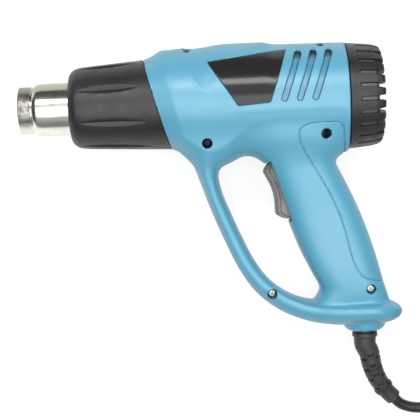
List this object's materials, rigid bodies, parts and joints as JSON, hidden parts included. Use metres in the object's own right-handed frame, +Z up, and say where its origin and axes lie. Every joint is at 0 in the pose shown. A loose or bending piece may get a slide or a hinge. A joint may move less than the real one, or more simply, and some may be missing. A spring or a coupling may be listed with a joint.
{
  "type": "hot air tool",
  "caption": "Pistol-grip hot air tool lying on its side: steel outlet, fluted dark collar, light blue barrel with closed guard loop, rocker trigger, slotted rear cap and a coiled mains lead.",
  "frame": {"origin": "on the table, under the middle of the tool's own bounding box without the free cord, its tie and its plug", "axes": "+X along the barrel from the outlet to the rear cap, +Y from the grip towards the barrel, +Z up from the table (the tool lies on its right side)"},
  "size_m": [0.441, 0.2791, 0.0771],
  "materials": {
    "housing_plastic": "satin light blue, fine moulded grain",
    "dark_plastic": "satin dark grey, fine moulded grain",
    "outlet_steel": "plated, smooth",
    "label_gloss": "glossy black, bare",
    "screw_steel": "zinc plated",
    "rocker_plastic": "satin grey, ribbed front",
    "contact_brass": "plain",
    "cord_rubber": "satin black",
    "relief_rubber": "satin black",
    "inner_plastic": "plain moulded",
    "capacitor_case": "plain",
    "wire_brown": "plain",
    "wire_blue": "plain",
    "motor_steel": "plain",
    "magnet_ferrite": "plain",
    "fan_plastic": "plain moulded",
    "board_green": "plain",
    "heater_mica": "dull"
  },
  "bodies": {
    "tool": {"housing_left": "housing_plastic", "housing_right": "housing_plastic", "front_collar": "dark_plastic", "outlet_tube": "outlet_steel", "rear_cap": "dark_plastic", "label_left": "label_gloss", "label_right": "label_gloss", "housing_screw_1": "screw_steel", "housing_screw_2": "screw_steel", "housing_screw_3": "screw_steel", "housing_screw_4": "screw_steel", "housing_screw_5": "screw_steel", "housing_screw_6": "screw_steel", "rocker_pin": "screw_steel", "switch_body": "dark_plastic", "switch_terminal_1": "contact_brass", "switch_terminal_2": "contact_brass", "switch_terminal_3": "contact_brass", "inner_cord": "cord_rubber", "cord_clamp": "inner_plastic", "clamp_screw_1": "screw_steel", "clamp_screw_2": "screw_steel", "capacitor": "capacitor_case", "wire_live": "wire_brown", "wire_neutral": "wire_blue", "wire_motor": "wire_brown", "wire_heater": "wire_blue", "motor_can": "motor_steel", "motor_end_cap": "inner_plastic", "motor_bush_front": "contact_brass", "motor_bush_rear": "contact_brass", "magnet_1": "magnet_ferrite", "magnet_2": "magnet_ferrite", "fan_shroud": "inner_plastic", "air_guide": "inner_plastic", "rectifier_board": "board_green", "diode_1": "fan_plastic", "diode_2": "fan_plastic", "diode_3": "fan_plastic", "diode_4": "fan_plastic", "heater_former": "heater_mica", "heater_coil": "motor_steel", "heater_plate_front": "heater_mica", "heater_plate_rear": "heater_mica", "mica_sleeve": "heater_mica", "thermal_cutout": "capacitor_case", "strain_relief": "relief_rubber", "cord_lead": "cord_rubber", "cord_coil": "cord_rubber", "cord_tail": "cord_rubber", "cord_tie": "relief_rubber", "plug_body": "relief_rubber", "plug_pin_1": "contact_brass", "plug_pin_2": "contact_brass"},
    "rocker": {"switch_rocker": "rocker_plastic"},
    "rotor": {"motor_shaft": "motor_steel", "armature": "motor_steel", "commutator": "contact_brass", "fan": "fan_plastic"}
  },
  "joints": [
    {"name": "rocker_tilt", "type": "hinge", "parent": "tool", "child": "rocker", "pos_m": [0.05431, 0.02904, 0.03262], "axis": [0, -0.0931, 0.9957], "range_deg": [0, 12.8]},
    {"name": "fan_spin", "type": "hinge", "parent": "tool", "child": "rotor", "pos_m": [0.09905, 0.09315, 0.03862], "axis": [1, 0, 0], "continuous": true}
  ]
}
